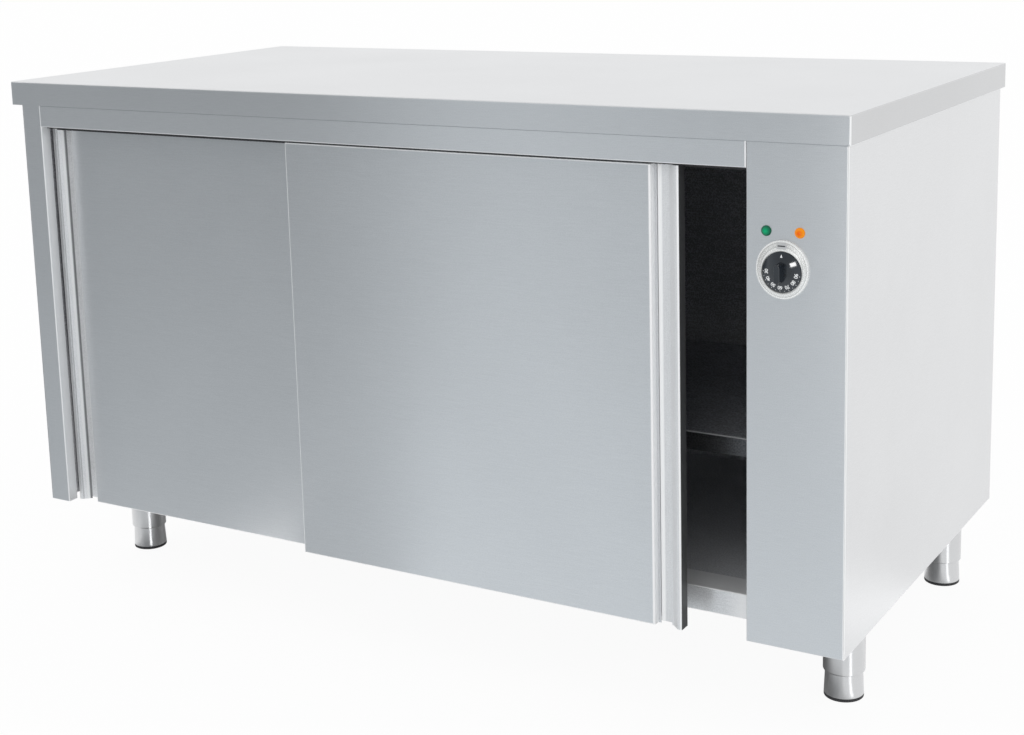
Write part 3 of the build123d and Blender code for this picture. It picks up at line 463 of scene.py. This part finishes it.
materials["green_lens"] = lens("green_lens", "lamp_green", (0.0, 0.40, 0.17), (0.0, 0.12, 0.06))
materials["orange_lens"] = lens("orange_lens", "lamp_orange", (0.90, 0.13, 0.0), (1.0, 0.33, 0.0))


def paint(node, material):
    for slot in NODES[node].material_slots:
        slot.material = material


for row in frame["record"]["subparts"]:
    paint(row["node"], materials[row["material_slot"]])


def dress(node, name, **settings):
    """Gives one node its own steel."""
    paint(node, brushed_steel(name, STEEL, **settings))


# Half the width of a painted highlight line along a fold
FOLD_LINE = 0.9 * MM


def edge_line(node, axis, side, inset=0.6 * MM, strength=1.0):
    """A painted highlight line along the fold on one side of a node's box."""
    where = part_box(node)[side][axis] + (inset if side == LOW else -inset)
    return axis, where, FOLD_LINE, strength


def grip_line(door, distance, half_width, strength):
    """An upright line at a distance in mm from a door's outer edge, where its grip begins, for the
    grips' painted highlights and painted shade lines.
    """
    low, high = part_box(f"door_{door}_grip")
    where = low[X] + distance * MM if door == "left" else high[X] - distance * MM
    return X, where, half_width * MM, strength


# The grips are folded strips, ground along their length and duller than the doors' faces.
GRIP = dict(roughness=0.42, anisotropy=0.7, upright=True, metallic=0.45)
# A painted glare on the sill's top, beside the door
SILL_GLARE = (X, 0.555, 0.04, 0.7)

# Painted shade on the grips' sideways lip faces, painted light on the left grip's front, painted
# highlight lines along their bends, and on the left grip painted shade lines in its inner corners
dress("door_left_grip", "grip_steel_left", **GRIP, side_tone=0.3, front_tone=1.2, contrast=0.08,
      lines=(grip_line("left", 2.2, 2.2, 0.8), grip_line("left", 14.0, 1.6, 0.8)),
      creases=(grip_line("left", 8.0, 0.7, 0.35), grip_line("left", 17.8, 2.2, 0.75)))
dress("door_right_grip", "grip_steel_right", **GRIP, side_tone=0.12, contrast=0.045,
      lines=(grip_line("right", 31.6, 3.2, 1.0), grip_line("right", 1.8, 1.3, 1.0)))
# Painted highlights on the right door's folds and sideways faces, along its left and top edges and
# beside its grip
dress("door_right_skin", "door_steel_right", folds="all", bright_sides=1.0,
      lines=(edge_line("door_right_skin", X, LOW), edge_line("door_right_skin", Z, HIGH),
             grip_line("right", 41.4, 1.7, 1.0)))
# Painted light on the rail's front faces, and painted highlights along its right end and lower edge
dress("front_rail", "rail_steel", front_tone=1.04,
      lines=(edge_line("front_rail", X, HIGH, 0.9 * MM),
             edge_line("front_rail", Z, LOW, 0.4 * MM, 0.5)))
# Painted highlight on the post's sideways return and along its right edge
dress("front_post", "post_steel", bright_sides=0.55,
      lines=(edge_line("front_post", X, HIGH, strength=0.7),))
# Painted highlight along the panel's right edge
dress("control_panel", "panel_steel", lines=(edge_line("control_panel", X, HIGH),))
# Painted highlights on the sill's folds and along its top, and a painted glare on its top
dress("sill_rail", "sill_steel", metallic=0.6, contrast=0.07, folds="all",
      lines=(SILL_GLARE, edge_line("sill_rail", Z, HIGH, 0.0, 0.9)))


# ---------------------------------------------------------------- pieces made here
def piece_of(name, mesh, material, body):
    """Puts a mesh into the scene as a piece that rides on a body."""
    mesh.materials.clear()
    mesh.materials.append(material)
    piece = link(bpy.data.objects.new(name, mesh))
    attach(piece, body)


def mesh_from(made, name):
    """The mesh of a bmesh, which is freed."""
    mesh = bpy.data.meshes.new(name)
    made.to_mesh(mesh)
    made.free()
    return mesh


# The dial's printing lies on the knob's dome. Lengths of the prints are in metres from the knob's
# axis, and angles in degrees from the right, against the clock.
KNOB_CENTRE, KNOB_RADIUS, _ = front_oval("dial_knob")
PANEL_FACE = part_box("control_panel")[LOW][Y]
KNOB_EDGE = 4.5 * MM
DOME_RISE = 3.0 * MM
DOME_RADIUS = (KNOB_RADIUS ** 2 + DOME_RISE ** 2) / (2 * DOME_RISE)
PRINT_THICKNESS = 0.06 * MM
NUMBERS = range(30, 100, 10)
NUMBER_HEIGHT = 4.6 * MM
NUMBER_RADIUS = 19.7 * MM
FIRST_NUMBER_ANGLE = 180.0
NUMBER_STEP = 28.5
TICK_RADIUS = 23.9 * MM
LONG_TICK = (0.55 * MM, 1.5 * MM)
SHORT_TICK = (0.4 * MM, 0.9 * MM)
POINTER_ANGLE = 90.0
POINTER = ((-1.5 * MM, 18.6 * MM), (1.5 * MM, 18.6 * MM), (0.0, 22.6 * MM))
# Blender's own font: its digits' share of the letter size, and how bold and close they stand
DIGIT_SHARE = 0.72
DIGIT_WEIGHT = 0.03
DIGIT_SPACING = 0.95


def on_dome(across, up, lift):
    """The point of the knob's face at a place beside its axis, lifted off the surface."""
    radius = math.hypot(across, up)
    rise = math.sqrt(DOME_RADIUS ** 2 - radius ** 2) - DOME_RADIUS + DOME_RISE
    front = PANEL_FACE - KNOB_EDGE - rise - lift
    return Vector((KNOB_CENTRE[0] + across, front, KNOB_CENTRE[1] + up))


def add_print(made, flat, angle, radius):
    """Lays flat polygons (corners to the right and up) on the dome, as thin solids."""
    outward = Vector((math.cos(math.radians(angle)), math.sin(math.radians(angle))))
    aside = Vector((outward.y, -outward.x))
    corners, faces = flat
    verts = []
    for lift in (0.0, PRINT_THICKNESS):
        for across, up in corners:
            at = outward * (radius + up) + aside * across
            verts.append(made.verts.new(on_dome(at.x, at.y, lift)))
    count = len(corners)
    rims = {}
    for face in faces:
        made.faces.new([verts[count + i] for i in face])
        for first, second in zip(face, face[1:] + face[:1]):
            key = (min(first, second), max(first, second))
            rims[key] = None if key in rims else (first, second)
    for edge in rims.values():
        if edge:
            first, second = edge
            rim = verts[first], verts[second], verts[count + second], verts[count + first]
            made.faces.new(rim)
    for face in faces:
        made.faces.new([verts[i] for i in reversed(face)])


def bar(width, length):
    """A flat upright bar."""
    half_w, half_l = width / 2, length / 2
    corners = [(-half_w, -half_l), (half_w, -half_l), (half_w, half_l), (-half_w, half_l)]
    return corners, [[0, 1, 2, 3]]


def digits(text, height):
    """The outline of plain digits as flat polygons around their middle."""
    curve = bpy.data.curves.new("digits", "FONT")
    curve.body = text
    curve.align_x = "CENTER"
    curve.size = height / DIGIT_SHARE
    curve.offset = DIGIT_WEIGHT * height
    curve.space_character = DIGIT_SPACING
    holder = bpy.data.objects.new("digits", curve)
    mesh = bpy.data.meshes.new_from_object(holder)
    corners = [(v.co.x, v.co.y - height / 2) for v in mesh.vertices]
    faces = [list(p.vertices) for p in mesh.polygons]
    bpy.data.objects.remove(holder)
    bpy.data.meshes.remove(mesh)
    return corners, faces


def make_dial_print():
    """White numbers, ticks and the pointer on the knob."""
    made = bmesh.new()
    for index, number in enumerate(NUMBERS):
        angle = FIRST_NUMBER_ANGLE + NUMBER_STEP * index
        add_print(made, digits(str(number), NUMBER_HEIGHT), angle, NUMBER_RADIUS)
        add_print(made, bar(*LONG_TICK), angle, TICK_RADIUS)
        if number != NUMBERS[-1]:
            add_print(made, bar(*SHORT_TICK), angle + NUMBER_STEP / 2, TICK_RADIUS)
    add_print(made, (POINTER, [[0, 1, 2]]), POINTER_ANGLE, 0.0)
    white = simple("dial_paint", (0.90, 0.92, 0.93), 0.4, spread=0.03, scale=900.0)
    piece_of("dial_print", mesh_from(made, "dial_print"), white, "dial")


# The index field over the knob and its mark, in millimetres: centres to the right of the knob's
# axis and up, sizes, corners, and depths before the panel at the lower and the upper edge
INDEX_CENTRE = (0, 33.2)
INDEX_SIZE = (13.6, 8.2)
INDEX_CORNER = 2.0
INDEX_DEPTHS = (5.35, 4.0)
INDEX_FOOT = 2.4
MARK_CENTRE = (-0.3, INDEX_CENTRE[1] - 0.4)
MARK_SIZE = (10.2, 1.5)
MARK_CORNER = 0.7
MARK_DEPTHS = (5.15, 4.9)
MARK_FOOT = 4.0
# The plates' rounded edge, from its outside up to the face: (inset, lift off the face)
PLATE_RINGS = ((0.0, -0.25), (0.12, -0.07), (0.35, 0.0))
CORNER_STEPS = 5


def rounded_plate(centre, size, corner, depths, foot):
    """A plate with round corners before the control panel, whose back lies at the depth foot."""
    made = bmesh.new()
    half_w, half_h = size[0] / 2, size[1] / 2
    outline = []
    for sign_x, sign_z, start in ((1, 1, 0), (-1, 1, 90), (-1, -1, 180), (1, -1, 270)):
        for step in range(CORNER_STEPS + 1):
            angle = math.radians(start + 90 * step / CORNER_STEPS)
            outline.append((
                sign_x * (half_w - corner) + corner * math.cos(angle),
                sign_z * (half_h - corner) + corner * math.sin(angle),
            ))

    def ring(inset, lift):
        """The outline, drawn in by inset: lifted off the sloping face, or on the back if None."""
        scale_x, scale_z = 1 - inset / half_w, 1 - inset / half_h
        verts = []
        for x, z in outline:
            share = (z + half_h) / (2 * half_h)
            depth = foot if lift is None else depths[0] + (depths[1] - depths[0]) * share + lift
            verts.append(made.verts.new((
                KNOB_CENTRE[0] + (centre[0] + x * scale_x) * MM,
                PANEL_FACE - depth * MM,
                KNOB_CENTRE[1] + (centre[1] + z * scale_z) * MM,
            )))
        return verts

    rings = [ring(0.0, None)] + [ring(*row) for row in PLATE_RINGS]
    for lower, upper in zip(rings, rings[1:]):
        for i in range(len(outline)):
            j = (i + 1) % len(outline)
            made.faces.new((lower[i], lower[j], upper[j], upper[i]))
    made.faces.new(rings[-1])
    made.faces.new(reversed(rings[0]))
    bmesh.ops.recalc_face_normals(made, faces=made.faces)
    mesh = mesh_from(made, "plate")
    for face in mesh.polygons:
        face.use_smooth = len(face.vertices) == 4
    return mesh


def make_index():
    """The raised index field at the top of the bezel, with its dark mark."""
    field = rounded_plate(INDEX_CENTRE, INDEX_SIZE, INDEX_CORNER, INDEX_DEPTHS, INDEX_FOOT)
    satin = simple("index_satin", (0.62, 0.62, 0.62), 0.35, metallic=0.6, spread=0.05, scale=900.0)
    piece_of("dial_index", field, satin, "root")
    mark = rounded_plate(MARK_CENTRE, MARK_SIZE, MARK_CORNER, MARK_DEPTHS, MARK_FOOT)
    piece_of("dial_index_mark", mark, materials["knob_plastic"], "root")


# Dark strips over the doors, a painted shadow: black sheets in place of the shadow gap under the
# track, in millimetres: (name, front, bottom, top)
SEALS = (("top_seal_front", -336.4, 755.6, 766.0), ("top_seal_rear", -315.6, 750.4, 764.0))
SEAL_THICKNESS = 1.2
SEAL_END_GAP = 0.5 * MM
BRISTLE_PITCH = 3.0 * MM
BRISTLE_STEP = 0.25


def make_seals():
    """Black strips as painted shadow that hang from the track, close before each door's upper edge,
    with a toothed lower edge.
    """
    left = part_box("front_post")[HIGH][X]
    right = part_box("control_panel")[LOW][X]
    count = int((right - left) / BRISTLE_PITCH)
    step = (right - left - 2 * SEAL_END_GAP) / count
    for name, front, bottom, top in SEALS:
        back = front + SEAL_THICKNESS
        made = bmesh.new()
        sections = []
        for index in range(count + 1):
            x = left + SEAL_END_GAP + step * index
            tip = bottom + (BRISTLE_STEP if index % 2 else 0.0)
            sections.append([
                made.verts.new((x, y * MM, z * MM))
                for y, z in ((front, tip), (back, tip), (back, top), (front, top))
            ])
        for first, second in zip(sections, sections[1:]):
            for i in range(4):
                j = (i + 1) % 4
                made.faces.new((first[i], first[j], second[j], second[i]))
        made.faces.new(reversed(sections[0]))
        made.faces.new(sections[-1])
        bmesh.ops.recalc_face_normals(made, faces=made.faces)
        piece_of(name, mesh_from(made, name), materials["black_rubber"], "root")


make_dial_print()
make_index()
make_seals()


# ---------------------------------------------------------------- studio
FLOOR_COLOUR = (0.96, 0.96, 0.96)
FLOOR_ROUGHNESS = 0.8
FLOOR_HALF = 60.0
# Share of pure white where the floor is seen; the rest is lit and keeps the shadow.
FLOOR_WHITE = 0.94
WORLD_LEVEL = 0.95
QUAD = (0, 1, 2, 3)


def rectangle(half_width, half_height, lift=0.0):
    """The corners of a level rectangle around the origin."""
    signs = ((-1, -1), (1, -1), (1, 1), (-1, 1))
    return [Vector((across * half_width, up * half_height, lift)) for across, up in signs]


def sheet_of(name, verts, faces, material):
    """Links a mesh of flat faces into the scene."""
    mesh = bpy.data.meshes.new(name)
    mesh.from_pydata(verts, [], faces)
    mesh.materials.append(material)
    return link(bpy.data.objects.new(name, mesh))


def seen_rays(tree):
    """1 for rays of the camera, of mirrors and of glass, 0 for the rays that light the object."""
    path = tree.nodes.new("ShaderNodeLightPath")
    total = path.outputs["Is Camera Ray"]
    for name in ("Is Glossy Ray", "Is Transmission Ray"):
        add = tree.nodes.new("ShaderNodeMath")
        add.operation = "ADD"
        add.use_clamp = True
        tree.links.new(total, add.inputs[0])
        tree.links.new(path.outputs[name], add.inputs[1])
        total = add.outputs[0]
    return total


def make_floor():
    """A plain pale floor, wide enough to fill every view, that keeps the object's soft shadow."""
    made = Shader("floor", FLOOR_COLOUR, FLOOR_ROUGHNESS)
    made.set("Specular IOR Level", 0.0)
    white = made.node("ShaderNodeEmission", {"Color": WHITE, "Strength": 1.0}).outputs[0]
    share = made.math("MULTIPLY", seen_rays(made.tree), FLOOR_WHITE)
    links = {0: share, 1: made.principled.outputs[0], 2: white}
    made.show(made.node("ShaderNodeMixShader", links).outputs[0])
    floor = sheet_of("floor", rectangle(FLOOR_HALF, FLOOR_HALF), [QUAD], made.material)


def make_world():
    """An even white surround, pure white where it is seen."""
    world = bpy.data.worlds.new("world")
    world.use_nodes = True
    tree = world.node_tree
    background = tree.nodes["Background"]
    background.inputs["Color"].default_value = WHITE
    level = tree.nodes.new("ShaderNodeMapRange")
    tree.links.new(seen_rays(tree), level.inputs[0])
    level.inputs[3].default_value = WORLD_LEVEL
    level.inputs[4].default_value = 1.0
    tree.links.new(level.outputs[0], background.inputs["Strength"])
    bpy.context.scene.world = world


def glowing(name):
    """A shader for a card that only sheen shows, which glow() lights."""
    return Shader(name, (0, 0, 0), 1.0)


def put_card(name, verts, faces, made):
    """Adds a card and keeps it out of the picture and the light, so that only sheen shows it."""
    card = sheet_of(name, verts, faces, made.material)
    card.visible_camera = False
    card.visible_diffuse = False
    card.visible_shadow = False
    card.visible_transmission = False


# The card that the front mirrors: grey at the left, paler at the right, and darker further out. It
# spreads from under the front's edge over the floor and up a wall. Its bands fan out from the place
# behind the front where a mirror would show the camera, so that they stand upright in the sheet.
FRONT_PLANE = -0.338
CARD_CENTRE = Vector((CAMERA_PLACE.x, 2 * FRONT_PLANE - CAMERA_PLACE.y))
CARD_START = -0.40
CARD_WALL = -3.2
CARD_HEIGHT = 3.2
CARD_BEND = 0.6
CARD_BEND_STEPS = 8
CARD_LIFT = 0.002
CARD_REACH = 6.0
CARD_BLUE = (0.955, 1.015, 1.06)
# Levels across the fan: (place, level)
CARD_LEVELS = (
    (-1.60, 0.46), (-1.05, 0.48), (-1.00, 0.52), (-0.86, 0.49), (-0.735, 0.475), (-0.655, 0.80),
    (-0.62, 0.77), (-0.53, 0.735), (-0.43, 0.69), (-0.33, 0.70), (-0.10, 0.84), (0.30, 1.00),
)
# Share of the level kept along the card, from the front's edge out: (distance run, share)
CARD_FADE = ((0.0, 1.14), (0.9, 1.07), (2.4, 0.78), (4.2, 0.60))
# Power to which that share is raised, across the fan: (place, power)
CARD_STEEPNESS = (
    (-0.80, 1.0), (-0.745, 1.9), (-0.70, 1.1), (-0.64, 0.15), (-0.58, 0.5), (-0.51, 0.8),
    (-0.38, 1.05),
)
# The fade and the power go over 1, which a ramp can't hold, so theirs are made to this scale.
RAMP_SCALE = 0.5


def card_section():
    """The card's outline in (distance to the front, height), as it runs out and up."""
    points = [(CARD_START, CARD_LIFT), (CARD_WALL + CARD_BEND, CARD_LIFT)]
    for step in range(1, CARD_BEND_STEPS + 1):
        angle = math.radians(90) * step / CARD_BEND_STEPS
        points.append((
            CARD_WALL + CARD_BEND * (1 - math.sin(angle)),
            CARD_LIFT + CARD_BEND * (1 - math.cos(angle)),
        ))
    points.append((CARD_WALL, CARD_HEIGHT))
    return points


def make_card():
    """The grey card in front, which only the metal sees."""
    section = card_section()
    count = len(section)
    verts = [(x, y, z) for x in (-CARD_REACH, CARD_REACH) for y, z in section]
    faces = [(i, i + 1, count + i + 1, count + i) for i in range(count - 1)]
    made = glowing("grey_card")

    def high_ramp(factor, stops):
        return made.math("DIVIDE", made.ramp(factor, stops, scale=RAMP_SCALE), RAMP_SCALE)

    place = made.split(made.place())
    across = made.math("SUBTRACT", place[X], CARD_CENTRE.x)
    away = made.math("SUBTRACT", CARD_CENTRE.y, place[Y])
    fan = made.math("DIVIDE", across, away)
    run = made.math("SUBTRACT", place[Z], made.math("ADD", place[Y], -CARD_START))
    share = made.math("POWER", high_ramp(run, CARD_FADE), high_ramp(fan, CARD_STEEPNESS))
    made.glow(made.scaled(made.ramp(fan, CARD_LEVELS, CARD_BLUE), share))
    put_card("grey_card", verts, faces, made)


# The floor under the cabinet: half its length and depth, its height, how fast it pales towards each
# side, and its levels: (way out, level)
UNDER_HALF = (0.66, 0.295)
UNDER_LIFT = 0.003
UNDER_POWERS = (8.0, 3.0)
UNDER_FADE = ((0.0, 0.12), (0.55, 0.20), (0.85, 0.50), (1.0, 0.90))


def make_under_card():
    """The floor in the cabinet's shade as the feet mirror it: dark in the middle, pale outside."""
    made = glowing("under_card")
    place = made.split(made.place())
    reach = []
    for axis, half, power in zip((X, Y), UNDER_HALF, UNDER_POWERS):
        share = made.math("DIVIDE", made.math("ABSOLUTE", place[axis]), half)
        reach.append(made.math("POWER", share, power))
    made.glow(made.ramp(made.math("MAXIMUM", *reach), UNDER_FADE))
    put_card("under_card", rectangle(*UNDER_HALF, UNDER_LIFT), [QUAD], made)


# Bright wedges on the floor that draw the upright glints of the feet: azimuths from each foot, how
# far from its axis they reach, half their angle
GLINT_AZIMUTHS = {
    "front_left": -45.0, "front_right": -38.0, "back_right": -42.0, "back_left": -48.0,
}
GLINT_REACH = (0.035, 0.42)
GLINT_HALF_ANGLE = 5.5
GLINT_LIFT = 0.005
GLINT_STRENGTH = 2.0


def make_glints():
    """The bright wedges before the feet, as one card that only sheen shows."""
    verts, faces = [], []
    for foot, azimuth in GLINT_AZIMUTHS.items():
        low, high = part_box(f"foot_insert_{foot}")
        middle = Vector(((low[X] + high[X]) / 2, (low[Y] + high[Y]) / 2, GLINT_LIFT))
        for reach, side in ((0, -1), (0, 1), (1, 1), (1, -1)):
            angle = math.radians(azimuth + side * GLINT_HALF_ANGLE)
            outward = Vector((math.cos(angle), math.sin(angle), 0))
            verts.append(middle + GLINT_REACH[reach] * outward)
        faces.append(tuple(range(len(verts) - 1, len(verts) - 5, -1)))
    made = glowing("glints")
    made.glow(WHITE, GLINT_STRENGTH)
    put_card("glints", verts, faces, made)


# Soft boxes that only sheen shows: (name, centre, width, height, faced place, strength, turn,
# share of each half side over which the light fades out to the white of the surround).
# The window behind the camera draws the bright fold lines; the small one shines on the knob.
SOFT_BOXES = (
    ("window", (1.65, -3.0, 1.2), 0.85, 2.4, (0.35, -0.34, 0.45), 1.3, 0, 0.9),
    ("knob_light", (0.542, -1.35, 0.631), 0.15, 0.09, (0.614, -0.35, 0.632), 13.0, -20, 0.05),
)


def make_soft_box(name, centre, width, height, facing, strength, turn, softness):
    """A flat bright card that looks towards the place it faces."""
    halves = width / 2, height / 2
    aim = (Vector(facing) - Vector(centre)).to_track_quat("Z", "Y").to_matrix()
    aim = aim @ Matrix.Rotation(math.radians(turn), 3, "Z")
    verts = [aim @ corner + Vector(centre) for corner in rectangle(*halves)]
    made = glowing(name)
    offset = made.vector_math("SUBTRACT", {0: made.place(), 1: centre})
    reach = []
    for axis, half in zip((X, Y), halves):
        links = {0: offset, 1: tuple(aim.col[axis] / half)}
        reach.append(made.math("ABSOLUTE", made.vector_math("DOT_PRODUCT", links, "Value")))
    far = made.math("MAXIMUM", *reach)
    made.glow(WHITE, made.between(far, strength, WORLD_LEVEL, 1 - softness, 1.0))
    put_card(name, verts, [QUAD], made)


bpy.context.scene.view_settings.view_transform = "Standard"
make_camera()
make_world()
make_floor()
make_card()
make_under_card()
make_glints()
for row in SOFT_BOXES:
    make_soft_box(*row)
